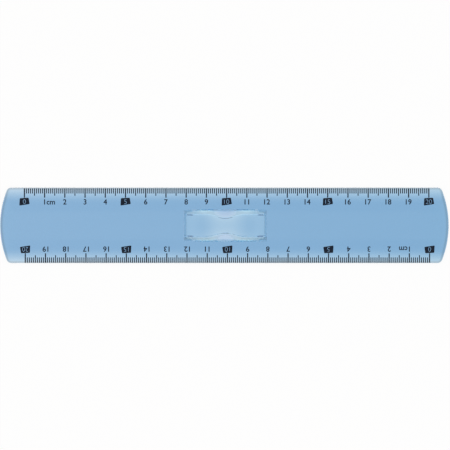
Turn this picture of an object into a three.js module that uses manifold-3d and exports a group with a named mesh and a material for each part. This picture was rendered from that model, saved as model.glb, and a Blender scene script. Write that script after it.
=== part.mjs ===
// A 20 cm school ruler of clear blue polystyrene with a raised finger grip at its middle.
// The blade is flat underneath and bevelled down to its two graduated edges. It has a window
// at its middle, and in that window, on a ledge, sits the hollow grip, open underneath.
// Millimetres. X runs along the ruler, Y across it to the upper scale, and Z up from the table.

import * as THREE from "three";
import { mergeGeometries, mergeVertices } from "three/addons/utils/BufferGeometryUtils.js";
import Module from "manifold-3d";

// Blade: overall sizes and section
const bladeLength = 222;
const bladeWidth = 37.4;
const bladeThickness = 2.4;
const edgeThickness = 0.9; // at the two long edges
const bevelWidth = 6.65; // from a long edge in to where the bevel would meet the flat
const crestRadius = 14; // of the soft crest between the bevel and the flat
const panelWidth = 11; // floor of the faint panel sunk along the middle
const panelSlopeWidth = 2.9; // of the slope down to it, on each side
const panelDepth = 0.08;

// Blade: plan outline
const endRadius = 47; // of the bowed ends
const cornerRadius = 2.5;
const endBevelWidth = 4.8;
const endBevelDrop = 0.2;

// Graduations, pressed into the bevels
const millimetre = 1;
const marksPerHalf = 5;
const marksPerNumber = 10;
const upperMargin = 12.1; // from the left end to the upper zero
const lowerMargin = 9.5; // from the right end to the lower zero
const markWidth = 0.32;
const longMarkWidth = 0.42;
const markDepth = 0.08;
const shortMark = 2.9;
const halfMark = 4;
const longMark = 4.95;

// Grip: outside
const gripLength = 41;
const gripWidth = 15.9; // at its foot, where it leaves the blade
const gripShift = 0.5; // of its middle from the blade's
const gripCornerRadius = 0.8;
const gripHeight = 3.6; // above the blade
const gripStep = 0.04; // at the foot of each ramp
const rampLength = 10;
const footSlope = 0.65; // how steeply a ramp starts, as a share of its mean slope
const gripTopWidth = 11;
const waistWidth = 7.5; // of the top, between the two finger scoops
const waistLength = 1; // stretch where the scoops are deepest
const scoopLength = 18;
const scoopBow = 0.25; // how far a scoop's face hollows, from 0, straight
const footBow = 7; // the same for the grip's sides at the foot of a ramp
const footLength = 5.5; // stretch over which that fades out
const sideDraft = 0.16; // how far a side leans in at its top, per millimetre of height
const crownHeight = 0.3; // of the top, across its width
const gripEdgeRound = 0.3;

// Grip: inside, and its seat in the blade
const sideWall = 0.75;
const endWall = 0.4;
const gripRoof = 1.55; // thickness of the top at the waist
const rampRoof = 2.1; // and over the ramps
const roofEaseStart = 2; // from the middle, where the roof starts to thicken
const roofEaseEnd = 14;
const pocketFootHeight = 1.3; // where the pocket's upright side ends
const scoopFootHeight = 0.65; // the same in the scoops
const endFootHeight = 0.1; // and at the ends
const footEaseStart = 10;
const footEaseEnd = 17;
const pocketInset = 0.46; // of the pocket's roof from the edges of the top
const scoopInset = 0.38; // the same at the waist
const pocketLeastHeight = 0.3;
const pocketEdgeRound = 0.15;
const ledgeHeight = 0.5;
const ledgeWidth = 1.35; // of the ledge under the grip's rim, along the long sides
const endLedgeWidth = 1.4;
const gripClearance = 0.1; // round the grip, in the window

// One overrun for every cut, and the steps of the curved faces
const overrun = 1;
const arcSteps = 8;
const turnSteps = 120;
const stationSteps = 40;
const sideSteps = 7;
const edgeSteps = 3;
const topSteps = 2;

const wasm = await Module();
wasm.setup();

function solidOf(geometry) {
  const bare = geometry.clone();
  bare.deleteAttribute("normal");
  bare.deleteAttribute("uv");
  const merged = mergeVertices(bare);
  return new wasm.Manifold(
    new wasm.Mesh({
      numProp: 3,
      vertProperties: merged.attributes.position.array,
      triVerts: new Uint32Array(merged.index.array),
    }),
  );
}

function geometryOf(solid) {
  const mesh = solid.getMesh();
  const geometry = new THREE.BufferGeometry();
  geometry.setAttribute("position", new THREE.BufferAttribute(mesh.vertProperties, 3));
  geometry.setIndex(new THREE.BufferAttribute(mesh.triVerts, 1));
  geometry.computeVertexNormals();
  return geometry;
}

// A plan outline raised from one height to another.
function upright(shape, from, to) {
  const depth = to - from;
  const geometry = new THREE.ExtrudeGeometry(shape, { depth, bevelEnabled: false, curveSegments: arcSteps });
  return solidOf(geometry.translate(0, 0, from));
}

function roundedRectangle(length, width, radius) {
  const x = length / 2 - radius;
  const y = width / 2 - radius;
  const shape = new THREE.Shape();
  shape.absarc(x, y, radius, 0, Math.PI / 2);
  shape.absarc(-x, y, radius, Math.PI / 2, Math.PI);
  shape.absarc(-x, -y, radius, Math.PI, Math.PI * 1.5);
  shape.absarc(x, -y, radius, Math.PI * 1.5, Math.PI * 2);
  return shape;
}

// Blade, in the ruler's frame

const bevelAngle = Math.atan((bladeThickness - edgeThickness) / bevelWidth);

// Half of the section, from the underside of a long edge to the floor of the sunk panel.
// On a narrow blade the crest's round is smaller, so that it ends before the panel's slope.
function bladeHalfSection() {
  const edge = bladeWidth / 2;
  const slopeEdge = panelWidth / 2 + panelSlopeWidth;
  const room = edge - bevelWidth - slopeEdge;
  const radius = Math.min(crestRadius, room / Math.tan(bevelAngle / 2));
  const crestEnd = edge - bevelWidth - radius * Math.tan(bevelAngle / 2);
  const square = Math.PI / 2;
  const half = new THREE.Path();
  half.moveTo(edge, 0);
  half.lineTo(edge, edgeThickness);
  half.absarc(crestEnd, bladeThickness - radius, radius, square - bevelAngle, square);
  half.lineTo(slopeEdge, bladeThickness);
  half.lineTo(panelWidth / 2, bladeThickness - panelDepth);
  return half.getPoints(arcSteps / 2);
}

// The section carried along X, past both ends.
function bladeBar() {
  const half = bladeHalfSection();
  const mirrored = half.map((p) => new THREE.Vector2(-p.x, p.y)).reverse();
  const depth = bladeLength + 2 * overrun;
  const bar = new THREE.ExtrudeGeometry(new THREE.Shape([...half, ...mirrored]), { depth, bevelEnabled: false });
  const [x, y, z] = [new THREE.Vector3(1, 0, 0), new THREE.Vector3(0, 1, 0), new THREE.Vector3(0, 0, 1)];
  bar.translate(0, 0, -depth / 2).applyMatrix4(new THREE.Matrix4().makeBasis(y, z, x));
  return solidOf(bar);
}

// Straight long edges, bowed ends, and a rounded corner between each two.
function bladeOutline() {
  const bowX = bladeLength / 2 - endRadius;
  const cornerY = bladeWidth / 2 - cornerRadius;
  const cornerX = bowX + Math.sqrt((endRadius - cornerRadius) ** 2 - cornerY ** 2);
  const turn = Math.atan2(cornerY, cornerX - bowX);
  const outline = new THREE.Shape();
  outline.absarc(bowX, 0, endRadius, -turn, turn);
  outline.absarc(cornerX, cornerY, cornerRadius, turn, Math.PI / 2);
  outline.absarc(-cornerX, cornerY, cornerRadius, Math.PI / 2, Math.PI - turn);
  outline.absarc(-bowX, 0, endRadius, Math.PI - turn, Math.PI + turn);
  outline.absarc(-cornerX, -cornerY, cornerRadius, Math.PI + turn, Math.PI * 1.5);
  outline.absarc(cornerX, -cornerY, cornerRadius, Math.PI * 1.5, Math.PI * 2 - turn);
  return outline;
}

// What the right-hand end's bevel takes off: a coned ring about the bow's centre, kept at that end.
function endBevelCut() {
  const slope = endBevelDrop / endBevelWidth;
  const inner = endRadius - endBevelWidth - overrun;
  const outer = endRadius + overrun;
  const top = bladeThickness + slope * overrun;
  const profile = [
    new THREE.Vector2(inner, top),
    new THREE.Vector2(outer, top - slope * (outer - inner)),
    new THREE.Vector2(outer, top),
    new THREE.Vector2(inner, top),
  ];
  const ring = new THREE.LatheGeometry(profile, turnSteps).rotateX(Math.PI / 2);
  const end = new THREE.BoxGeometry(endRadius, bladeWidth, bladeThickness + 2 * overrun);
  ring.translate(bladeLength / 2 - endRadius, 0, 0);
  end.translate(bladeLength / 2, 0, bladeThickness);
  return solidOf(ring).intersect(solidOf(end));
}

// The marks of the upper scale as boxes laid on the bevel, sunk to the depth of a mark.
function scaleMarks(margin) {
  const room = bladeLength - upperMargin - lowerMargin;
  const numbers = Math.floor(room / (marksPerNumber * millimetre));
  const slant = Math.cos(bevelAngle);
  const thickness = markDepth + overrun;
  const marks = [];
  for (let i = 0; i <= numbers * marksPerNumber; i++) {
    const long = i % marksPerNumber === 0;
    const lesserMark = i % marksPerHalf === 0 ? halfMark : shortMark;
    const reach = (long ? longMark : lesserMark) / slant;
    const mark = new THREE.BoxGeometry(long ? longMarkWidth : markWidth, reach + overrun, thickness);
    mark.translate(0, (overrun - reach) / 2, thickness / 2 - markDepth).rotateX(-bevelAngle);
    mark.translate(margin - bladeLength / 2 + i * millimetre, bladeWidth / 2, edgeThickness);
    marks.push(mark);
  }
  return solidOf(mergeGeometries(marks));
}

function blade() {
  const endCut = endBevelCut();
  const window = roundedRectangle(
    gripLength + 2 * gripClearance,
    gripWidth + 2 * gripClearance,
    gripCornerRadius + gripClearance,
  );
  const mouth = roundedRectangle(gripLength - 2 * endLedgeWidth, gripWidth - 2 * ledgeWidth, gripCornerRadius);
  const grip = [gripShift, 0, 0];
  const halfTurn = [0, 0, 180];
  return bladeBar()
    .intersect(upright(bladeOutline(), -overrun, bladeThickness + overrun))
    .subtract(endCut)
    .subtract(endCut.rotate(halfTurn))
    .subtract(upright(window, ledgeHeight, bladeThickness + overrun).translate(grip))
    .subtract(upright(mouth, -overrun, bladeThickness).translate(grip))
    .subtract(scaleMarks(upperMargin))
    .subtract(scaleMarks(lowerMargin).rotate(halfTurn));
}

// Grip, in its own frame, with Z up from its rim

const skirtHeight = bladeThickness - ledgeHeight;

// Height above the blade at a station: a ramp starts with a slope of its own and ends level.
function riseAt(x) {
  const t = THREE.MathUtils.clamp((gripLength / 2 - Math.abs(x)) / rampLength, 0, 1);
  const share = footSlope * t + (3 - 2 * footSlope) * t ** 2 + (footSlope - 2) * t ** 3;
  return THREE.MathUtils.lerp(gripStep, gripHeight, share);
}

// How far a station is into the finger scoops, from 0 outside them to 1 at the waist.
function scoopAt(x) {
  return 1 - THREE.MathUtils.smoothstep(Math.abs(x), waistLength / 2, scoopLength / 2);
}

// How hollow a side is at a station: a little in the scoops, and much at the foot of a ramp.
function bowAt(x) {
  const foot = 1 - THREE.MathUtils.smoothstep(gripLength / 2 - Math.abs(x), 0, footLength);
  return scoopBow * scoopAt(x) + footBow * foot;
}

// A loop of section points: upright skirt, hollowed side, rounded edge and crowned top, and back.
function archSection({ foot, halfBase, spring, halfTop, top, crown, edgeRound, bow }) {
  const shoulder = top - crown;
  const round = Math.min(edgeRound, (shoulder - spring) / 2, halfTop / 2);
  const sideEnd = 1 - round / (shoulder - spring);
  const lean = Math.min(sideDraft * (shoulder - spring), halfBase - halfTop);
  const sideAt = (t) =>
    new THREE.Vector2(
      halfTop + lean * (1 - t) + (halfBase - halfTop - lean) * (1 - t) ** (1 + bow),
      THREE.MathUtils.lerp(spring, shoulder, t),
    );
  const topAt = (y) => new THREE.Vector2(y, shoulder + crown * (1 - (y / halfTop) ** 2));
  const corner = new THREE.Vector2(halfTop, shoulder);
  const edge = new THREE.QuadraticBezierCurve(sideAt(sideEnd), corner, topAt(halfTop - round));
  const half = [new THREE.Vector2(halfBase, foot)];
  for (let k = 0; k < sideSteps; k++) half.push(sideAt((sideEnd * k) / sideSteps));
  half.push(...edge.getPoints(edgeSteps));
  for (let k = 1; k < topSteps; k++) half.push(topAt((halfTop - round) * (1 - k / topSteps)));
  const mirrored = half.map((p) => new THREE.Vector2(-p.x, p.y)).reverse();
  return [...half, topAt(0), ...mirrored];
}

function outerSection(x) {
  return archSection({
    foot: 0,
    halfBase: gripWidth / 2,
    spring: skirtHeight,
    halfTop: THREE.MathUtils.lerp(gripTopWidth, waistWidth, scoopAt(x)) / 2,
    top: skirtHeight + riseAt(x),
    crown: (crownHeight * riseAt(x)) / gripHeight,
    edgeRound: gripEdgeRound,
    bow: bowAt(x),
  });
}

function pocketSection(x) {
  const { lerp, smoothstep } = THREE.MathUtils;
  const scoop = scoopAt(x);
  const roof = lerp(gripRoof, rampRoof, smoothstep(Math.abs(x), roofEaseStart, roofEaseEnd));
  const top = Math.max(skirtHeight + riseAt(x) - roof, pocketLeastHeight);
  const sideFoot = lerp(pocketFootHeight, scoopFootHeight, scoop);
  const footHeight = lerp(sideFoot, endFootHeight, smoothstep(Math.abs(x), footEaseStart, footEaseEnd));
  return archSection({
    foot: -overrun,
    halfBase: gripWidth / 2 - sideWall,
    spring: Math.min(footHeight, top - pocketLeastHeight / 2),
    halfTop: lerp(gripTopWidth, waistWidth, scoop) / 2 - lerp(pocketInset, scoopInset, scoop),
    top,
    crown: 0,
    edgeRound: pocketEdgeRound,
    bow: bowAt(x),
  });
}

// A skin through the sections at even stations along the grip, closed by a fan at each end.
function loft(sectionAt) {
  const start = -gripLength / 2 - overrun;
  const spacing = -2 * start / stationSteps;
  const positions = [];
  const faces = [];
  const count = sectionAt(start).length;
  for (let i = 0; i <= stationSteps; i++) {
    const x = start + i * spacing;
    for (const p of sectionAt(x)) positions.push(x, p.x, p.y);
  }
  const middle = count * (stationSteps + 1);
  for (const i of [0, stationSteps]) {
    const x = start + i * spacing;
    const points = sectionAt(x);
    positions.push(x, 0, (points[0].y + points[(count - 1) / 2].y) / 2);
  }
  for (let j = 0; j < count; j++) {
    const next = (j + 1) % count;
    for (let i = 0; i < stationSteps; i++) {
      const [a, b] = [i * count + j, i * count + next];
      faces.push(a, b, b + count, a, b + count, a + count);
    }
    const last = stationSteps * count;
    faces.push(middle, next, j, middle + 1, last + j, last + next);
  }
  const geometry = new THREE.BufferGeometry();
  geometry.setAttribute("position", new THREE.Float32BufferAttribute(positions, 3));
  geometry.setIndex(faces);
  return solidOf(geometry);
}

function grip() {
  const summit = skirtHeight + gripHeight + overrun;
  const footprint = upright(roundedRectangle(gripLength, gripWidth, gripCornerRadius), -overrun, summit);
  const hollow = roundedRectangle(gripLength - 2 * endWall, gripWidth - 2 * sideWall, gripCornerRadius);
  const pocket = loft(pocketSection).intersect(upright(hollow, -overrun, summit));
  return loft(outerSection).intersect(footprint).subtract(pocket);
}

// Assembly

const clearBlue = new THREE.MeshStandardMaterial({
  color: 0x8cb4d8,
  roughness: 0.08,
  metalness: 0,
  transparent: true,
  opacity: 0.6,
});

function piece(name, solid) {
  const mesh = new THREE.Mesh(geometryOf(solid), clearBlue);
  mesh.name = name;
  return mesh;
}

const ruler = new THREE.Group();
const gripPiece = piece("finger_grip", grip());
gripPiece.position.set(gripShift, 0, ledgeHeight);
ruler.add(piece("blade", blade()), gripPiece);

export default ruler;
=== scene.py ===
import math

import bmesh
import bpy
import numpy as np
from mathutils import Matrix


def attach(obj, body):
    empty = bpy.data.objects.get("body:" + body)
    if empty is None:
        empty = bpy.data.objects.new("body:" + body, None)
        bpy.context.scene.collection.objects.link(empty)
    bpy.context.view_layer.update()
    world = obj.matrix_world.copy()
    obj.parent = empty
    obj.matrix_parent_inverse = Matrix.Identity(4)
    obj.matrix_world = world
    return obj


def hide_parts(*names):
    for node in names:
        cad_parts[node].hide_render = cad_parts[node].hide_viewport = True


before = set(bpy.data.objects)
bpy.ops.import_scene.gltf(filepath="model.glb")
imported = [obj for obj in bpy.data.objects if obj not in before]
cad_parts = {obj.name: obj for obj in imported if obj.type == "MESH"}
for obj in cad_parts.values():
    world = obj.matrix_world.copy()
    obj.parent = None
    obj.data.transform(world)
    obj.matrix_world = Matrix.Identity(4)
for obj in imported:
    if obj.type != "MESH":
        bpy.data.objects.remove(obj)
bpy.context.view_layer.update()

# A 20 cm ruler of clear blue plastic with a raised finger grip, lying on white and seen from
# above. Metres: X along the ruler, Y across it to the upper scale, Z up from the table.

# Blade
# The flat moulding of clear blue polystyrene, bevelled to both scales, with bowed ends and a
# ledged window for the grip. One closed skin: its profile runs from the window's mouth under
# the blade, round the outer edge and back over the top to the window.

mm = 0.001
blade_half_length = 111 * mm
blade_half_width = 18.7 * mm
blade_thickness = 2.4 * mm
edge_thickness = 0.9 * mm
bevel_width = 6.65 * mm
crest_radius = 14 * mm
panel_half_width = 5.5 * mm
panel_slope_width = 2.9 * mm
panel_depth = 0.08 * mm
end_radius = 47 * mm
corner_radius = 2.5 * mm
least_corner_radius = 0.6 * mm
end_bevel_width = 4.8 * mm
end_bevel_drop = 0.2 * mm
end_bevel_softness = 0.03 * mm
edge_draft = 0.06 * mm
edge_round, end_round = 0.25 * mm, 0.8 * mm
lower_edge_round = 0.15 * mm
window_round = 0.03 * mm

grip_shift = 0.5 * mm
window_half_length = 20.53 * mm
window_half_width = 7.98 * mm
window_corner = 0.9 * mm
mouth_half_length = 19.1 * mm
mouth_half_width = 6.6 * mm
mouth_corner = 0.8 * mm
ledge_height = 0.5 * mm
ledge_margin = 0.01 * mm

# points on each stretch of a quarter loop, then loops on each stretch of the profile
over_window, along_edge, round_corner, round_end = 44, 96, 10, 40
corner_steps = 8
round_loops, underside_loops, middle_loops = 6, 10, 36
hold = 0.02 * mm
edge_strip = 1.6 * mm
edge_strip_shares = (0.08, 0.18, 0.3, 0.45, 0.7, 1.0)
bevel_insets = np.linspace(2.2, 4.5, 4) * mm
crest_insets = np.linspace(4.9, 9.6, 18) * mm

plastic_tint = (0.0, 0.789, 0.921, 1.0)
plastic_density = 570
right_end_tint = (0.0, 0.6, 0.75, 1.0)
green_taken, blue_taken = 206, 104
# painted shade: a grey-brown colour mixed into the tint in a band a little in from the blade's edge, wider
# and a little weaker at the ends; the grip's side slopes take the same colour as painted shade, and its
# scoops as finger grime
shade_and_grime_colour = (0.26, 0.13, 0.08, 1.0)
shade_and_grime_strength = 0.52
edge_shade_inset, end_shade_inset = 0.5 * mm, 0.85 * mm
edge_shade_width, end_shade_width = 0.42 * mm, 0.55 * mm
end_shade = 0.95
waviness = 0.2 * mm


def smoothstep(value, low, high):
    """0 below low, 1 above high, and 3t^2 - 2t^3 between them."""
    t = np.clip((value - low) / (high - low), 0, 1)
    return t * t * (3 - 2 * t)


def blade_top(x, y):
    """Height of the top. Across: a slope down to the edge, a round of the crest's radius into the
    flat, and an eased step down to the panel. Along: a cone round the bow's centre takes the end
    down, and the two meet softly."""
    slope = (blade_thickness - edge_thickness) / bevel_width
    angle = math.atan(slope)
    out = np.abs(y) - (blade_half_width - bevel_width - crest_radius * math.tan(angle / 2))
    on_round = np.clip(out, 0, crest_radius * math.sin(angle))
    across = blade_thickness - crest_radius + np.sqrt(crest_radius**2 - on_round**2)
    across = across - slope * np.maximum(out - crest_radius * math.sin(angle), 0)
    across = across - panel_depth * (
        1 - smoothstep(np.abs(y), panel_half_width, panel_half_width + panel_slope_width))
    reach = np.hypot(np.maximum(np.abs(x) - (blade_half_length - end_radius), 0), y)
    fall = end_bevel_drop / end_bevel_width
    along = blade_thickness - fall * (reach - (end_radius - end_bevel_width))
    return (across + along - np.sqrt((across - along) ** 2 + end_bevel_softness**2)) / 2


def whole_loop(x, y, shift=0.0):
    """A closed loop from its quarter, which runs from the middle of the upper side to the tip of
    the right end: the quarter, then its mirror images in order, without the shared points."""
    xs = np.concatenate([x[:-1], x[:0:-1], -x[:-1], -x[:0:-1]])
    ys = np.concatenate([y[:-1], -y[:0:-1], -y[:-1], y[:0:-1]])
    return xs + shift, ys


def blade_outline(inset):
    """The blade's outline, drawn in by an inset: the straight edge, the corner's arc, and the
    bowed end's arc, each with its own count of points."""
    bow = blade_half_length - end_radius
    end = end_radius - inset
    corner = np.maximum(corner_radius - inset, least_corner_radius)
    corner_y = blade_half_width - inset - corner
    corner_x = bow + np.sqrt((end - corner) ** 2 - corner_y**2)
    turn = np.arctan2(corner_y, corner_x - bow)
    middle = np.linspace(0, window_half_length, over_window, endpoint=False)
    edge = np.linspace(window_half_length, corner_x, along_edge, endpoint=False)
    bend = np.linspace(np.pi / 2, turn, round_corner, endpoint=False)
    bowed = np.linspace(turn, 0, round_end + 1)
    x = np.concatenate([middle, edge, corner_x + corner * np.cos(bend), bow + end * np.cos(bowed)])
    y = np.concatenate([np.full(over_window + along_edge, blade_half_width - inset),
                        corner_y + corner * np.sin(bend), end * np.sin(bowed)])
    return whole_loop(x, y)


def rounded_opening(half_length, half_width, corner, grow=0.0):
    """A rounded rectangle about the grip's middle, with as many points as the blade's outline:
    the long side, the corner's arc, and the short side."""
    hl, hw, r = half_length + grow, half_width + grow, corner + grow
    side = np.linspace(0, hl - r, over_window, endpoint=False)
    bend = np.linspace(np.pi / 2, 0, corner_steps, endpoint=False)
    short = np.linspace(hw - r, 0, along_edge + round_corner + round_end + 1 - corner_steps)
    x = np.concatenate([side, hl - r + r * np.cos(bend), np.full(short.size, hl)])
    y = np.concatenate([np.full(side.size, hw), hw - r + r * np.sin(bend), short])
    return whole_loop(x, y, grip_shift)


def blade_rows():
    """The blade's loops, in the order of its profile, as rows of (x, y, z) with a share of painted shade as
    a fourth value near the edge. A round is a quarter of a circle, and a loop held close to it
    keeps its shading off the face beside it."""
    quarter = np.linspace(0, np.pi / 2, round_loops)
    mouth = (mouth_half_length, mouth_half_width, mouth_corner)
    window = (window_half_length, window_half_width, window_corner)
    # underside, from the mouth out
    rows = [(*rounded_opening(*mouth, grow=window_round + hold), 0.0),
            (*rounded_opening(*window, grow=-hold), 0.0)]
    x0, y0 = rounded_opening(*window, grow=hold)
    x1, y1 = blade_outline(lower_edge_round + hold)
    for t in np.linspace(0, 1, underside_loops):
        rows.append((x0 + (x1 - x0) * t, y0 + (y1 - y0) * t, 0.0))
    # outer edge: round, a wall with the mould's draft, and a round that is wider at the ends
    for a in quarter:
        x, y = blade_outline(lower_edge_round * (1 - math.sin(a)))
        rows.append((x, y, lower_edge_round * (1 - math.cos(a))))
    outer_x, outer_y = blade_outline(0.0)
    rows.append((outer_x, outer_y, lower_edge_round + hold))
    inner_x, inner_y = blade_outline(edge_strip)
    at_end = smoothstep(blade_top(outer_x, outer_y), edge_thickness, blade_thickness - end_bevel_drop)
    edge = edge_round + (end_round - edge_round) * at_end
    # painted shade: its share peaks a little in from the edge, further in and wider at the ends
    shade_at = edge_shade_inset + (end_shade_inset - edge_shade_inset) * at_end
    shade_over = edge_shade_width + (end_shade_width - edge_shade_width) * at_end
    over_round = [(edge_draft + edge * (1 - math.cos(a)), edge * (1 - math.sin(a))) for a in quarter]
    crown = edge_draft + edge
    over_strip = [(crown + (edge_strip - crown) * share, 0.0) for share in edge_strip_shares]
    for inset, drop in over_round + over_strip:
        x = outer_x + (inner_x - outer_x) * inset / edge_strip
        y = outer_y + (inner_y - outer_y) * inset / edge_strip
        shade_and_grime = (1 + (end_shade - 1) * at_end) * np.exp(-(((inset - shade_at) / shade_over) ** 2))
        rows.append((x, y, blade_top(x, y) - drop, shade_and_grime))
    # top: bevel, crest, then across to the window
    for inset in np.concatenate([bevel_insets, crest_insets]):
        x, y = blade_outline(inset)
        rows.append((x, y, blade_top(x, y)))
    x0, y0 = x, y
    x1, y1 = rounded_opening(*window, grow=window_round + hold)
    for t in np.linspace(0, 1, middle_loops)[1:]:
        x, y = x0 + (x1 - x0) * t, y0 + (y1 - y0) * t
        rows.append((x, y, blade_top(x, y)))
    # window: round, wall, ledge, round, mouth, round
    for a in quarter:
        x, y = rounded_opening(*window, grow=window_round * (1 - math.sin(a)))
        rows.append((x, y, blade_top(x, y) - window_round * (1 - math.cos(a))))
    rows.append((*rounded_opening(*window), blade_thickness - panel_depth - window_round * 2))
    rows.append((*rounded_opening(*window), ledge_height + hold))
    rows.append((*rounded_opening(*window), ledge_height))
    rows.append((*rounded_opening(*window, grow=-hold), ledge_height))
    rows.append((*rounded_opening(*mouth, grow=window_round + hold), ledge_height))
    for a in quarter:
        x, y = rounded_opening(*mouth, grow=window_round * (1 - math.sin(a)))
        rows.append((x, y, ledge_height - window_round * (1 - math.cos(a))))
    rows.append((*rounded_opening(*mouth), ledge_height - window_round - hold))
    rows.append((*rounded_opening(*mouth), window_round + hold))
    for a in quarter:
        x, y = rounded_opening(*mouth, grow=window_round * (1 - math.cos(a)))
        rows.append((x, y, window_round * (1 - math.sin(a))))
    return rows


def keep_values(mesh, label, values):
    """Keeps a number for each point of a mesh as an attribute, which its material reads."""
    mesh.attributes.new(label, "FLOAT", "POINT").data.foreach_set("value", values)


def piece_of(mesh):
    """An object at the origin that shows a mesh, under the mesh's name."""
    piece = bpy.data.objects.new(mesh.name, mesh)
    bpy.context.scene.collection.objects.link(piece)
    return piece


def blade_mesh():
    """A closed skin through the blade's loops: each is joined to the next by a band of four-sided
    faces, and the last one to the first. Attributes keep the share of painted shade and the depth of
    plastic at each point: the ledge's height in the window, and elsewhere the height of the top."""
    rows = blade_rows()
    points = np.stack([np.stack(np.broadcast_arrays(*row[:3]), axis=-1) for row in rows])
    count, around = points.shape[:2]
    i, j = np.meshgrid(np.arange(count), np.arange(around), indexing="ij")
    a, b = (i + 1) % count, (j + 1) % around
    faces = np.stack([i * around + j, a * around + j, a * around + b, i * around + b], axis=-1)
    mesh = bpy.data.meshes.new("blade_moulding")
    mesh.from_pydata(points.reshape(-1, 3), [], faces.reshape(-1, 4))
    mesh.polygons.foreach_set("use_smooth", np.ones(len(mesh.polygons), bool))
    # painted shade: the share that greys the tint near the edge
    shade_and_grime = np.stack([np.broadcast_to(row[3] if len(row) > 3 else 0.0, around) for row in rows])
    keep_values(mesh, "shade_and_grime", shade_and_grime.ravel())
    x, y = points[..., 0], points[..., 1]
    past_x = np.maximum(np.abs(x - grip_shift) - (window_half_length - window_corner), 0)
    past_y = np.maximum(np.abs(y) - (window_half_width - window_corner), 0)
    on_ledge = np.hypot(past_x, past_y) < window_corner - ledge_margin
    keep_values(mesh, "depth", np.where(on_ledge, ledge_height, blade_top(x, y)).ravel())
    mesh.update()
    return mesh


def feed(tree, socket, value):
    """Links a node's socket to another, or sets it to a plain value."""
    if isinstance(value, bpy.types.NodeSocket):
        tree.links.new(value, socket)
    else:
        socket.default_value = value


def math_node(tree, operation, *values):
    """The result of a Math node fed with the values."""
    node = tree.nodes.new("ShaderNodeMath")
    node.operation = operation
    for socket, value in zip(node.inputs, values):
        feed(tree, socket, value)
    return node.outputs[0]


def colour_mix(tree, blend, factor, first, second):
    """The result of a Mix node: the second colour blended over the first by a factor."""
    node = tree.nodes.new("ShaderNodeMix")
    node.data_type = "RGBA"
    node.blend_type = blend
    for label, value in (("Factor", factor), ("A", first), ("B", second)):
        feed(tree, node.inputs[label], value)
    return node.outputs["Result"]


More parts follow.
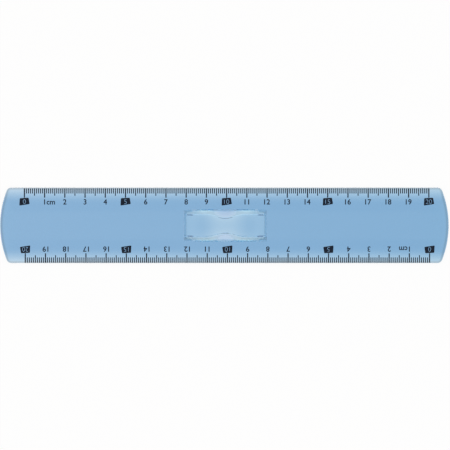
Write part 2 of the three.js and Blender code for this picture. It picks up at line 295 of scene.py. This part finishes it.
def moulded_surface():
    """Node group for the moulded faces: a tint that drifts along the ruler, follows the melt's flow
    in faint streaks, loses some green and blue by the depth of plastic and greys by a kept share
    that is painted shade on the blade's edge and the grip's side slopes and finger grime in the
    grip's scoops, a roughness that varies with smudges and rubbing, and a fine waviness for the
    bump. All but the depth and that kept share read Object coordinates."""
    group = bpy.data.node_groups.new("moulded_surface", "ShaderNodeTree")
    for label in ("Polish", "Smudges", "Streaks", "Drift"):
        group.interface.new_socket(label, in_out="INPUT", socket_type="NodeSocketFloat")
    group.interface.new_socket("Tint", in_out="OUTPUT", socket_type="NodeSocketColor")
    group.interface.new_socket("Roughness", in_out="OUTPUT", socket_type="NodeSocketFloat")
    group.interface.new_socket("Height", in_out="OUTPUT", socket_type="NodeSocketFloat")
    nodes, links = group.nodes, group.links
    entry = nodes.new("NodeGroupInput")
    leave = nodes.new("NodeGroupOutput")
    place = nodes.new("ShaderNodeTexCoord").outputs["Object"]

    def noise(scale, stretch, detail):
        """Noise over the piece, stretched along its axes."""
        spread = nodes.new("ShaderNodeMapping")
        spread.inputs["Scale"].default_value = stretch
        links.new(place, spread.inputs["Vector"])
        texture = nodes.new("ShaderNodeTexNoise")
        texture.inputs["Scale"].default_value = scale
        texture.inputs["Detail"].default_value = detail
        links.new(spread.outputs["Vector"], texture.inputs["Vector"])
        return texture.outputs[0]

    def kept(label):
        """The number that the mesh keeps for each point."""
        attribute = nodes.new("ShaderNodeAttribute")
        attribute.attribute_name = label
        return attribute.outputs["Fac"]

    # tint: red and green fall a little towards the right-hand end, less in faint flow streaks
    split = nodes.new("ShaderNodeSeparateXYZ")
    links.new(place, split.inputs[0])
    along = nodes.new("ShaderNodeMapRange")
    along.inputs["From Min"].default_value = -blade_half_length
    along.inputs["From Max"].default_value = blade_half_length
    links.new(split.outputs["X"], along.inputs["Value"])
    flow = noise(scale=130, stretch=(0.25, 1.6, 1.0), detail=3)
    streak = math_node(group, "SUBTRACT", flow, 0.5)
    drift = math_node(group, "MULTIPLY", along.outputs["Result"], entry.outputs["Drift"])
    shade = math_node(group, "MULTIPLY_ADD", streak, entry.outputs["Streaks"], drift)
    tint = colour_mix(group, "MIX", shade, (1.0, 1.0, 1.0, 1.0), right_end_tint)
    # the green and blue that the first millimetres of plastic take and a longer way doesn't
    left = nodes.new("ShaderNodeCombineColor")
    left.inputs["Red"].default_value = 1.0
    for channel, taken in (("Green", green_taken), ("Blue", blue_taken)):
        share_left = math_node(group, "EXPONENT", math_node(group, "MULTIPLY", kept("depth"), -taken))
        links.new(share_left, left.inputs[channel])
    deepened = colour_mix(group, "MULTIPLY", 1.0, tint, left.outputs["Color"])
    # painted shade on the blade's edge and the grip's side slopes, finger grime in the scoops: grey-brown
    # mixed into the tint by the kept share
    shaded_and_soiled = math_node(group, "MULTIPLY", kept("shade_and_grime"), shade_and_grime_strength)
    links.new(colour_mix(group, "MIX", shaded_and_soiled, deepened, shade_and_grime_colour), leave.inputs["Tint"])
    # roughness: polish, more where fingers have rubbed it
    smudge = nodes.new("ShaderNodeMapRange")
    smudge.inputs["From Min"].default_value = 0.45
    smudge.inputs["From Max"].default_value = 0.7
    links.new(noise(scale=70, stretch=(1.0, 1.0, 1.0), detail=5), smudge.inputs["Value"])
    rubbed = math_node(group, "MULTIPLY_ADD", smudge.outputs["Result"], entry.outputs["Smudges"],
                       entry.outputs["Polish"])
    links.new(rubbed, leave.inputs["Roughness"])
    # height: the gentle waviness of a moulded face, and hair scratches along it
    hair = nodes.new("ShaderNodeMapRange")
    hair.inputs["From Min"].default_value = 0.68
    hair.inputs["From Max"].default_value = 0.72
    hair.inputs["To Max"].default_value = -0.12
    links.new(noise(scale=1500, stretch=(0.02, 1.0, 1.0), detail=1), hair.inputs["Value"])
    waves = noise(scale=110, stretch=(0.5, 1.0, 1.0), detail=1)
    height = math_node(group, "ADD", waves, hair.outputs["Result"])
    links.new(height, leave.inputs["Height"])
    return group


moulded = moulded_surface()


def clear_plastic(name, polish, smudges, streaks, drift):
    """Clear blue polystyrene: a glass-like shader over an even absorption, which deepens with the
    thickness of the plastic."""
    material = bpy.data.materials.new(name)
    material.use_nodes = True
    nodes, links = material.node_tree.nodes, material.node_tree.links
    shader = nodes["Principled BSDF"]
    surface = nodes.new("ShaderNodeGroup")
    surface.node_tree = moulded
    surface.inputs["Polish"].default_value = polish
    surface.inputs["Smudges"].default_value = smudges
    surface.inputs["Streaks"].default_value = streaks
    surface.inputs["Drift"].default_value = drift
    bump = nodes.new("ShaderNodeBump")
    bump.inputs["Strength"].default_value = 0.08
    bump.inputs["Distance"].default_value = waviness
    links.new(surface.outputs["Height"], bump.inputs["Height"])
    links.new(surface.outputs["Tint"], shader.inputs["Base Color"])
    links.new(surface.outputs["Roughness"], shader.inputs["Roughness"])
    links.new(bump.outputs["Normal"], shader.inputs["Normal"])
    shader.inputs["Transmission Weight"].default_value = 1.0
    shader.inputs["IOR"].default_value = 1.59
    absorption = nodes.new("ShaderNodeVolumeAbsorption")
    absorption.inputs["Color"].default_value = plastic_tint
    absorption.inputs["Density"].default_value = plastic_density
    links.new(absorption.outputs["Volume"], nodes["Material Output"].inputs["Volume"])
    return material


blade = piece_of(blade_mesh())
clear_blade = clear_plastic("clear_blade", polish=0.03, smudges=0.04, streaks=0.03, drift=0.12)
blade.data.materials.append(clear_blade)
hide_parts("blade")
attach(blade, "root")

# Finger grip
# The raised grip, moulded hollow in the same clear plastic with a thinner wall. It rises from
# the blade in two eased ramps, has a finger scoop in each side, and sits on the window's ledge.

grip_half_length = 20.5 * mm
grip_half_width = 7.95 * mm
grip_corner = 0.8 * mm
grip_height = 3.6 * mm
grip_step = 0.04 * mm
ramp_length = 10 * mm
top_half_width = 5.5 * mm
waist_half_width = 3.75 * mm
waist_length = 1 * mm
scoop_length = 18 * mm
scoop_bow = 0.25
foot_slope = 0.65
foot_bow = 7.0
foot_length = 5.5 * mm
side_draft = 0.16
lip_height = {"upper": 0.45 * mm, "lower": 0.02 * mm}
lip_draft = 0.1 * mm
lip_fade_start, lip_fade_end = 4 * mm, 15 * mm
crown_height = 0.3 * mm
grip_edge_round = 0.3 * mm
seat_gap = 0.02 * mm
skirt = blade_thickness - ledge_height

grip_roof = 1.55 * mm
ramp_roof = 2.1 * mm
roof_ease_start, roof_ease_end = 2 * mm, 14 * mm
pocket_least_height = 0.3 * mm
pocket_edge_round = 0.15 * mm
pocket_half_length = 20.1 * mm
pocket_half_width = 7.2 * mm
pocket_foot_height = 1.3 * mm
pocket_end_foot = 0.1 * mm
pocket_scoop_foot = 0.65 * mm
pocket_foot_drop = 1 * mm
foot_ease_start, foot_ease_end = 10 * mm, 17 * mm
pocket_edge_inset = {"upper": 0.46 * mm, "lower": 0.41 * mm}
pocket_scoop_inset = {"upper": 0.42 * mm, "lower": 0.35 * mm}

# the grip's side slopes: painted shade, darker on the lower side; the scoops: finger grime
scoop_grime = 0.1
slope_shade = {"upper": 0.46, "lower": 0.85}
shade_and_grime_top_ease = 0.6 * mm
shade_and_grime_foot_start, shade_and_grime_foot_end = 0.5 * mm, 1.2 * mm
scoop_deepening = 0.6 * mm

crease_angle = math.radians(50)
station_count = 161
skirt_points, side_points, turn_points, lid_points = 3, 22, 9, 15


def rise(x):
    """Height of the grip's top over the blade: the step at the foot, then a cubic that leaves it at
    its own slope and reaches full height level."""
    t = np.clip((grip_half_length - np.abs(x)) / ramp_length, 0, 1)
    share = foot_slope * t + (3 - 2 * foot_slope) * t**2 + (foot_slope - 2) * t**3
    return grip_step + (grip_height - grip_step) * share


def scoop(x):
    """0 outside the finger scoops, eased to 1 at the waist."""
    return 1 - smoothstep(np.abs(x), waist_length / 2, scoop_length / 2)


def top_half(x):
    """Half the width of the grip's top, which the scoops narrow."""
    return top_half_width + (waist_half_width - top_half_width) * scoop(x)


def side_bow(x):
    """How far the sides hollow: in the scoops, and at the foot of each ramp."""
    return scoop_bow * scoop(x) + foot_bow * (1 - smoothstep(grip_half_length - np.abs(x), 0, foot_length))


def arch(foot, half_base, spring, half_top, top, crown, edge_round, bow, lip=0.0, lip_in=0.0):
    """Half of a section at each station, from its foot to the middle of its top: an upright skirt,
    a lip that leans in, a side hollowed by (1 - t)^(1 + bow), a round edge as a quadratic Bezier,
    and a crowned top."""
    skirt_top, skirt_half = spring, half_base
    spring, half_base = spring + lip, half_base - lip_in
    shoulder = top - crown
    turn = np.minimum(np.minimum(edge_round, (shoulder - spring) / 2), half_top / 2)
    side_end = 1 - turn / (shoulder - spring)

    def side(t):
        lean = np.minimum(side_draft * (shoulder - spring), half_base - half_top)
        return (half_top + lean * (1 - t) + (half_base - half_top - lean) * (1 - t) ** (1 + bow),
                spring + (shoulder - spring) * t)

    def lid(y):
        return y, shoulder + crown * (1 - (y / half_top) ** 2)

    parts = [(skirt_half, foot), (skirt_half, foot + (skirt_top - foot) / 2),
             (skirt_half, skirt_top - hold)]
    parts += [side(side_end * t) for t in np.linspace(0, 1, side_points)[:-1]]
    a, c = side(side_end), lid(half_top - turn)
    for t in np.linspace(0, 1, turn_points):
        parts.append(tuple((1 - t) ** 2 * p + 2 * t * (1 - t) * q + t * t * r
                           for p, q, r in zip(a, (half_top, shoulder), c)))
    parts += [lid((half_top - turn) * t) for t in np.linspace(1, 0, lid_points)[1:]]
    ys, zs = zip(*[np.broadcast_arrays(y, z, half_top)[:2] for y, z in parts])
    return np.stack(ys, axis=1), np.stack(zs, axis=1)


def stations(half_length, corner):
    """Places along the grip, closer together at both ends, and how far the rounded corner draws
    the side in there."""
    x = half_length * np.sin(np.linspace(-1, 1, station_count) * np.pi / 2)
    over = np.maximum(np.abs(x) - (half_length - corner), 0)
    return x, corner - np.sqrt(corner**2 - over**2)


def outer_sheet(side):
    """The outside of the grip: the arch's section carried along the stations, with that side's lip,
    which dies out along the ramps."""
    x, drawn_in = stations(grip_half_length, grip_corner)
    lip = lip_height[side] * (1 - smoothstep(np.abs(x), lip_fade_start, lip_fade_end))
    y, z = arch(seat_gap + 0 * x, grip_half_width + 0 * x, skirt + 0 * x, top_half(x), skirt + rise(x),
                crown_height * rise(x) / grip_height, grip_edge_round, side_bow(x),
                lip, lip_draft * lip / lip_height["upper"])
    return x, y * (1 - drawn_in / grip_half_width)[:, None], z


def pocket_sheet(side):
    """The inside, a wall's width in, with the same hollowed sides. Its roof thickens towards the
    ramps, and its sides come down to the rim under their feet."""
    x, drawn_in = stations(pocket_half_length, mouth_corner)
    inset = pocket_edge_inset[side] + (pocket_scoop_inset[side] - pocket_edge_inset[side]) * scoop(x)
    to_ramp = smoothstep(np.abs(x), roof_ease_start, roof_ease_end)
    to_end = smoothstep(np.abs(x), foot_ease_start, foot_ease_end)
    roof = grip_roof + (ramp_roof - grip_roof) * to_ramp
    top = np.maximum(skirt + rise(x) - roof, pocket_least_height)
    foot_height = pocket_foot_height + (pocket_scoop_foot - pocket_foot_height) * scoop(x)
    foot_height = foot_height + (pocket_end_foot - foot_height) * to_end
    spring = np.minimum(foot_height, top - pocket_least_height / 2)
    y, z = arch(np.minimum(seat_gap, spring - pocket_foot_drop), pocket_half_width + 0 * x, spring,
                top_half(x) - inset, top, 0 * x, pocket_edge_round, side_bow(x))
    z[:, 0] = seat_gap
    z = np.maximum(z, seat_gap)
    return x, y * (1 - drawn_in / pocket_half_width)[:, None], z


def grip_mesh():
    """The two sheets, each mirrored to its full section, joined by the rim along both sides and
    closed at the ends by upright faces. Painted shade greys both side slopes, the lower one more,
    fingers leave a trace of grime in the scoops, and the depth that tints a point is the wall's
    own, with a little more in the scoops."""
    verts, quads, ends, heights, rims = [], [], [], [], []
    for sheet, inward in ((outer_sheet, False), (pocket_sheet, True)):
        x, y, z = sheet("upper")
        x, y_low, z_low = sheet("lower")
        y = np.concatenate([y, -y_low[:, -2::-1]], axis=1)
        z = np.concatenate([z, z_low[:, -2::-1]], axis=1)
        heights.append(z)
        around = y.shape[1]
        start = sum(len(v) for v in verts)
        verts.append(np.stack([np.broadcast_to(x[:, None], y.shape), y, z], axis=-1).reshape(-1, 3))
        i, j = np.meshgrid(np.arange(station_count - 1), np.arange(around - 1), indexing="ij")
        a = start + i * around + j
        face = np.stack([a, a + around, a + around + 1, a + 1], axis=-1).reshape(-1, 4)
        quads.append(face if inward else face[:, ::-1])
        first = start + np.arange(around)
        last = first + (station_count - 1) * around
        ends += [first.tolist(), last[::-1].tolist()] if inward else [first[::-1].tolist(), last.tolist()]
        rim = start + np.arange(station_count) * around
        rims.append((rim, rim + around - 1))
    (outer_up, outer_low), (inner_up, inner_low) = rims
    quads.append(np.stack([outer_up[:-1], outer_up[1:], inner_up[1:], inner_up[:-1]], axis=-1))
    quads.append(np.stack([outer_low[:-1], inner_low[:-1], inner_low[1:], outer_low[1:]], axis=-1))
    ends.append([int(outer_up[0]), int(inner_up[0]), int(inner_low[0]), int(outer_low[0])])
    ends.append([int(outer_up[-1]), int(outer_low[-1]), int(inner_low[-1]), int(inner_up[-1])])
    points = np.concatenate(verts)
    x, y = points[:, 0], points[:, 1]
    on_side = smoothstep(np.abs(y) - top_half(x), 0, shade_and_grime_top_ease)
    on_side = on_side * smoothstep(grip_half_width - np.abs(y), shade_and_grime_foot_start, shade_and_grime_foot_end)
    # painted shade on the side slopes, heavier on the lower side, eased to finger grime in the scoops; none
    # on the pocket
    shade_and_grime = np.where(y > 0, slope_shade["upper"], slope_shade["lower"])
    shade_and_grime = on_side * (shade_and_grime + (scoop_grime - shade_and_grime) * scoop(x))
    shade_and_grime[len(verts[0]):] = 0
    depth = heights[0] - heights[1]
    depth[:, :skirt_points] = depth[:, -skirt_points:] = skirt
    depth = np.tile(depth.ravel(), 2) + scoop_deepening * scoop(x) * on_side
    mesh = bpy.data.meshes.new("grip_moulding")
    mesh.from_pydata(points + (grip_shift, 0, ledge_height), [], np.concatenate(quads).tolist() + ends)
    keep_values(mesh, "shade_and_grime", shade_and_grime)
    keep_values(mesh, "depth", depth)
    mesh.polygons.foreach_set("use_smooth", np.ones(len(mesh.polygons), bool))
    mesh.update()
    mesh.set_sharp_from_angle(angle=crease_angle)
    return mesh


grip = piece_of(grip_mesh())
clear_grip = clear_plastic("clear_grip", polish=0.03, smudges=0.06, streaks=0.05, drift=0.12)
grip.data.materials.append(clear_grip)
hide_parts("finger_grip")
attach(grip, "root")

# Graduations
# Dark blue ink in the pressed marks of both bevels, one mark to the millimetre. It fills each
# groove and stands a hair proud of it.

mark_count = 201
marks_per_half, marks_per_number = 5, 10
mark_half_width = 0.23 * mm
long_mark_half_width = 0.28 * mm
mark_flare = 0.15
mark_start = {"upper": 0.36 * mm, "lower": 0.2 * mm}
short_mark = 2.9 * mm
half_mark = 4.0 * mm
long_mark = 4.95 * mm
mark_rings, mark_corners = 5, 4
ink_height = 0.012 * mm
ink_depth = 0.05 * mm
ink_dark, ink_pale = (0.002, 0.006, 0.018, 1), (0.005, 0.014, 0.036, 1)
scale_zeros = {"upper": -98.9 * mm, "lower": -101.5 * mm}


def printing_ink():
    """Dark navy ink: matt, a little uneven in depth of colour and in gloss."""
    material = bpy.data.materials.new("scale_ink")
    material.use_nodes = True
    nodes, links = material.node_tree.nodes, material.node_tree.links
    shader = nodes["Principled BSDF"]
    place = nodes.new("ShaderNodeTexCoord")
    patches = nodes.new("ShaderNodeTexNoise")
    patches.inputs["Scale"].default_value = 900
    patches.inputs["Detail"].default_value = 3
    links.new(place.outputs["Object"], patches.inputs["Vector"])
    shade = nodes.new("ShaderNodeValToRGB")
    shade.color_ramp.elements[0].position = 0.3
    shade.color_ramp.elements[0].color = ink_dark
    shade.color_ramp.elements[1].position = 0.75
    shade.color_ramp.elements[1].color = ink_pale
    links.new(patches.outputs[0], shade.inputs["Fac"])
    links.new(shade.outputs["Color"], shader.inputs["Base Color"])
    gloss = nodes.new("ShaderNodeMapRange")
    gloss.inputs["To Min"].default_value = 0.4
    gloss.inputs["To Max"].default_value = 0.6
    links.new(patches.outputs[0], gloss.inputs["Value"])
    links.new(gloss.outputs["Result"], shader.inputs["Roughness"])
    shader.inputs["Specular IOR Level"].default_value = 0.25
    return material


ink = printing_ink()


def scale_marks(name, zero, start, turned):
    """Thin bars laid on the bevel, each of five rings of four corners. A bar has its length from
    the edge in and its width, which grows a little towards the edge, and each ring follows the
    height of the blade there. Over the rounded edge the ink follows the round down."""
    number = np.arange(mark_count)
    x = zero + number * mm
    long = number % marks_per_number == 0
    length = np.where(long, long_mark, np.where(number % marks_per_half == 0, half_mark, short_mark))
    half = np.where(long, long_mark_half_width, mark_half_width)
    share = np.linspace(0, 1, mark_rings)
    y = (blade_half_width - start) - (length - start)[:, None] * share
    side = np.array([-1, 1, 1, -1])
    lift = np.array([-ink_depth, -ink_depth, ink_height, ink_height])
    flare = 1 + mark_flare * (1 - share)
    xs = x[:, None, None] + half[:, None, None] * flare[None, :, None] * side
    ys = np.broadcast_to(y[:, :, None], xs.shape)
    over = np.clip((edge_draft + edge_round - (blade_half_width - ys)) / edge_round, 0, 1)
    zs = blade_top(xs, ys) - edge_round * (1 - np.sqrt(1 - over**2)) + lift
    points = np.stack([xs, ys, zs], axis=-1).reshape(-1, 3)
    base = number[:, None, None] * mark_rings * mark_corners
    ring = base + np.arange(mark_rings - 1)[None, :, None] * mark_corners
    k = np.arange(mark_corners)
    after = (k + 1) % mark_corners
    wall = np.stack([ring + k, ring + after, ring + mark_corners + after, ring + mark_corners + k], axis=-1)
    first = base[:, 0] + k[::-1]
    last = base[:, 0] + (mark_rings - 1) * mark_corners + k
    faces = np.concatenate([wall.reshape(-1, mark_corners), first, last])
    if turned:
        points = points * (-1, -1, 1)
    mesh = bpy.data.meshes.new(name)
    mesh.from_pydata(points, [], faces)
    mesh.update()
    return mesh


for side, zero in scale_zeros.items():
    marks = piece_of(scale_marks("scale_marks_" + side, zero, mark_start[side], side == "lower"))
    marks.data.materials.append(ink)
    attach(marks, "root")

# Numerals and number plates
# Printed in the same ink: a number at every centimetre, "cm" after the first, and at every fifth
# a hand-cut dark plate from which the number is left out.

number_count = 21
number_spacing = 10 * mm
numbers_per_plate = 5
numeral_height = 2.5 * mm
numeral_base = 10.45 * mm
plate_numeral_height = 2.3 * mm
plate_numeral_base = 10.65 * mm
# in the typeface at size 1: the height of a numeral, and where the middle of its 1 is
face_height = 0.69
face_one_middle = 0.251
plate_corners = np.array([(-2.3, 13.5), (2.1, 13.75), (2.62, 10.62), (-2.48, 9.85)]) * mm
plate_corner_round = 0.45 * mm
ink_spread = 0.07 * mm
least_cosine, least_length = 0.3, 1e-9
bezier_steps, plate_corner_points = 6, 7
print_levels = np.arange(9.7, 14.0, 0.33) * mm
merge_distance, cut_distance = 1e-7, 1e-8


def spread_out(outline, spread):
    """The outline moved outwards by a spread: each point along the sum of its two sides' normals,
    further at a corner, by 1 / cosine of half its turn. A hole runs the other way, and shrinks.
    Where the move would turn a side round, as in a tight corner, its first point is left out."""
    while True:
        before = outline - np.roll(outline, 1, axis=0)
        after = np.roll(outline, -1, axis=0) - outline
        before /= np.linalg.norm(before, axis=1)[:, None]
        after /= np.linalg.norm(after, axis=1)[:, None]
        along = before + after
        twice_cosine = np.maximum(np.linalg.norm(along, axis=1), least_length)[:, None]
        out = np.stack([along[:, 1], -along[:, 0]], axis=1) / twice_cosine
        moved = outline + out * spread / np.maximum(twice_cosine / 2, least_cosine)
        kept = ((np.roll(moved, -1, axis=0) - moved) * after).sum(axis=1) > 0
        if kept.all():
            return moved
        outline = outline[kept]


def word_outlines(word, height, x, y, spread, middle=None):
    """The closed outlines of a word in Blender's own plain face, as lists of points: scaled to a
    height, with its middle, or the middle of its first numeral, at x, and its foot at y. Each
    stretch between two knots is the cubic Bezier of its handles."""
    text = bpy.data.curves.new(word, "FONT")
    text.body = word
    text.size = height / face_height
    holder = bpy.data.objects.new(word, text)
    bpy.context.scene.collection.objects.link(holder)
    depsgraph = bpy.context.evaluated_depsgraph_get()
    outlines = []
    t = np.linspace(0, 1, bezier_steps, endpoint=False)[None, :, None]
    for spline in holder.evaluated_get(depsgraph).to_curve(depsgraph).splines:
        knots = np.array([(p.co[:2], p.handle_right[:2], p.handle_left[:2]) for p in spline.bezier_points])
        a, b = knots[:, None, 0], knots[:, None, 1]
        c, d = np.roll(knots[:, None, 2], -1, axis=0), np.roll(knots[:, None, 0], -1, axis=0)
        stretch = (1 - t) ** 3 * a + 3 * t * (1 - t) ** 2 * b + 3 * t * t * (1 - t) * c + t**3 * d
        outlines.append(spread_out(stretch.reshape(-1, 2), spread))
    holder.to_curve_clear()
    bpy.data.objects.remove(holder)
    extent = np.concatenate(outlines)[:, 0]
    middle = (extent.min() + extent.max()) / 2 if middle is None else middle * height / face_height
    return [outline + (x - middle, y) for outline in outlines]


def plate_outline(x):
    """The plate's edge about x: straight sides, and each corner turned by a quadratic Bezier."""
    corners = plate_corners + (x, 0)
    before = np.roll(corners, 1, axis=0) - corners
    after = np.roll(corners, -1, axis=0) - corners
    start = corners + before / np.linalg.norm(before, axis=1)[:, None] * plate_corner_round
    end = corners + after / np.linalg.norm(after, axis=1)[:, None] * plate_corner_round
    t = np.linspace(0, 1, plate_corner_points)[None, :, None]
    bend = (1 - t) ** 2 * start[:, None] + 2 * t * (1 - t) * corners[:, None] + t * t * end[:, None]
    return bend.reshape(-1, 2)


def filled(name, outlines):
    """A flat mesh of the outlines filled, with what lies inside another left open."""
    curve = bpy.data.curves.new(name, "CURVE")
    curve.dimensions = "2D"
    curve.fill_mode = "BOTH"
    for outline in outlines:
        spline = curve.splines.new("POLY")
        spline.points.add(len(outline) - 1)
        spline.points.foreach_set("co", np.pad(outline, ((0, 0), (0, 2))).ravel())
        spline.use_cyclic_u = True
    holder = bpy.data.objects.new(name, curve)
    bpy.context.scene.collection.objects.link(holder)
    depsgraph = bpy.context.evaluated_depsgraph_get()
    flat = bpy.data.meshes.new_from_object(holder.evaluated_get(depsgraph))
    bpy.data.objects.remove(holder)
    return flat


def printed(name, outlines, turned):
    """The outlines filled, then cut across at close levels so that they can follow the blade, given
    an upper side, and laid on the blade's top at the ink's thickness."""
    flat = filled(name, outlines)
    print_mesh = bmesh.new()
    print_mesh.from_mesh(flat)
    bpy.data.meshes.remove(flat)
    bmesh.ops.remove_doubles(print_mesh, verts=print_mesh.verts, dist=merge_distance)
    for level in print_levels:
        everything = print_mesh.verts[:] + print_mesh.edges[:] + print_mesh.faces[:]
        bmesh.ops.bisect_plane(print_mesh, geom=everything, dist=cut_distance,
                               plane_co=(0, level, 0), plane_no=(0, 1, 0))
    grown = bmesh.ops.extrude_face_region(print_mesh, geom=print_mesh.faces[:])["geom"]
    raised = [v for v in grown if isinstance(v, bmesh.types.BMVert)]
    bmesh.ops.translate(print_mesh, verts=raised, vec=(0, 0, mm))
    bmesh.ops.recalc_face_normals(print_mesh, faces=print_mesh.faces)
    mesh = bpy.data.meshes.new(name)
    print_mesh.to_mesh(mesh)
    print_mesh.free()
    points = np.empty(len(mesh.vertices) * 3, np.float32)
    mesh.vertices.foreach_get("co", points)
    points = points.reshape(-1, 3).astype(float)
    lift = np.where(points[:, 2] > mm / 2, ink_height, -ink_height)
    points[:, 2] = blade_top(points[:, 0], points[:, 1]) + lift
    if turned:
        points = points * (-1, -1, 1)
    mesh.vertices.foreach_set("co", points.astype(np.float32).ravel())
    mesh.update()
    mesh.materials.append(ink)
    piece = piece_of(mesh)
    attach(piece, "root")


for side, zero in scale_zeros.items():
    words, plates = [], []
    for number in range(number_count):
        x = zero + number * number_spacing
        if number % numbers_per_plate == 0:
            plates.append(plate_outline(x))
            plates += word_outlines(str(number), plate_numeral_height, x, plate_numeral_base, -ink_spread)
        elif number == 1:
            words += word_outlines("1cm", numeral_height, x, numeral_base, ink_spread, face_one_middle)
        else:
            words += word_outlines(str(number), numeral_height, x, numeral_base, ink_spread)
    printed("numerals_" + side, words, side == "lower")
    printed("number_plates_" + side, plates, side == "lower")

# Table
# A white table under the ruler, large enough to fill every view. It lights the plastic from
# below as plain paper does.

table_reach = 3
table_drop = 0.05 * mm
shaded_share = 0.07


def table_paper():
    """White paper. The camera, reflections and looks through the plastic see it as even white, and
    where the camera sees it, a small share of the lit paper keeps the ruler's shadow."""
    material = bpy.data.materials.new("white_table")
    material.use_nodes = True
    tree = material.node_tree
    nodes, links = tree.nodes, tree.links
    nodes.clear()
    ray = nodes.new("ShaderNodeLightPath")
    paper = nodes.new("ShaderNodeBsdfDiffuse")
    paper.inputs["Color"].default_value = (1.0, 1.0, 1.0, 1.0)
    glow = nodes.new("ShaderNodeEmission")
    seen = nodes.new("ShaderNodeMixShader")
    shaded = math_node(tree, "MULTIPLY", ray.outputs["Is Camera Ray"], shaded_share)
    links.new(shaded, seen.inputs["Fac"])
    links.new(glow.outputs[0], seen.inputs[1])
    links.new(paper.outputs[0], seen.inputs[2])
    looked_at = math_node(tree, "ADD", ray.outputs["Is Camera Ray"], ray.outputs["Is Glossy Ray"])
    looked_at = math_node(tree, "ADD", looked_at, ray.outputs["Is Transmission Ray"])
    looked_at.node.use_clamp = True
    finish = nodes.new("ShaderNodeMixShader")
    links.new(looked_at, finish.inputs["Fac"])
    links.new(paper.outputs[0], finish.inputs[1])
    links.new(seen.outputs[0], finish.inputs[2])
    output = nodes.new("ShaderNodeOutputMaterial")
    links.new(finish.outputs[0], output.inputs["Surface"])
    return material


table_mesh = bpy.data.meshes.new("table")
table_corners = np.array([(-1, -1, 0), (1, -1, 0), (1, 1, 0), (-1, 1, 0)]) * table_reach
table_mesh.from_pydata(table_corners, [], [(0, 1, 2, 3)])
table_mesh.materials.append(table_paper())
table = piece_of(table_mesh)
table.location.z = -table_drop

# Light and camera
# Soft studio light: a large lamp at each long side, and a sky that is grey overhead and pales to
# the horizon. The camera looks down through a long lens, two degrees off the vertical.

sky_overhead, sky_horizon = 0.6, 1.0
sky_ease_start, sky_ease_end = 0.1, 0.95
lamp_elevation = math.radians(28)
lamp_distance = 1.3
lamp_width, lamp_height = 2.0, 1.0
lamp_power = 7.0
lamp_colour = (1.0, 0.9, 0.84)
camera_distance = 3.0
camera_lean = math.radians(2)
camera_shift_x, camera_shift_y = 0.3 * mm, 0.2 * mm
lens_sensor = 36.0
picture_width = 222.63 * mm
view_reach = 20


def studio_sky():
    """A sky whose strength falls with the height of the direction, and that the camera sees white."""
    studio = bpy.data.worlds.new("studio")
    studio.use_nodes = True
    tree = studio.node_tree
    nodes, links = tree.nodes, tree.links
    nodes.clear()
    direction = nodes.new("ShaderNodeTexCoord")
    height = nodes.new("ShaderNodeSeparateXYZ")
    links.new(direction.outputs["Generated"], height.inputs[0])
    sky = nodes.new("ShaderNodeMapRange")
    sky.interpolation_type = "SMOOTHSTEP"
    sky.inputs["From Min"].default_value = sky_ease_start
    sky.inputs["From Max"].default_value = sky_ease_end
    sky.inputs["To Min"].default_value = sky_horizon
    sky.inputs["To Max"].default_value = sky_overhead
    links.new(height.outputs["Z"], sky.inputs["Value"])
    ray = nodes.new("ShaderNodeLightPath")
    level = math_node(tree, "MAXIMUM", sky.outputs["Result"], ray.outputs["Is Camera Ray"])
    backdrop = nodes.new("ShaderNodeBackground")
    links.new(level, backdrop.inputs["Strength"])
    output = nodes.new("ShaderNodeOutputWorld")
    links.new(backdrop.outputs[0], output.inputs["Surface"])
    return studio


def soft_lamp(name, azimuth):
    """A wide lamp at a bearing, turned to face the ruler."""
    lamp = bpy.data.lights.new(name, "AREA")
    lamp.shape = "RECTANGLE"
    lamp.size = lamp_width
    lamp.size_y = lamp_height
    lamp.energy = lamp_power
    lamp.color = lamp_colour
    holder = bpy.data.objects.new(name, lamp)
    across = lamp_distance * math.cos(lamp_elevation)
    holder.location = (across * math.cos(azimuth), across * math.sin(azimuth),
                       lamp_distance * math.sin(lamp_elevation))
    holder.rotation_euler = (math.pi / 2 - lamp_elevation, 0, azimuth + math.pi / 2)
    bpy.context.scene.collection.objects.link(holder)


bpy.context.scene.world = studio_sky()
soft_lamp("lamp_behind", math.radians(90))
soft_lamp("lamp_front", math.radians(-90))

lens = bpy.data.cameras.new("camera")
lens.sensor_width = lens_sensor
lens.lens = lens_sensor * camera_distance / picture_width
lens.clip_end = view_reach
camera = bpy.data.objects.new("camera", lens)
camera.location = (camera_shift_x, camera_shift_y + camera_distance * math.sin(camera_lean),
                   edge_thickness + camera_distance * math.cos(camera_lean))
camera.rotation_euler = (-camera_lean, 0, 0)
bpy.context.scene.collection.objects.link(camera)
bpy.context.scene.camera = camera
bpy.context.scene.view_settings.view_transform = "Standard"
# light that enters the blade flat is thrown from face to face until it meets the far edge
bpy.context.scene.cycles.max_bounces = 32
bpy.context.scene.cycles.glossy_bounces = 24
bpy.context.scene.cycles.transmission_bounces = 24
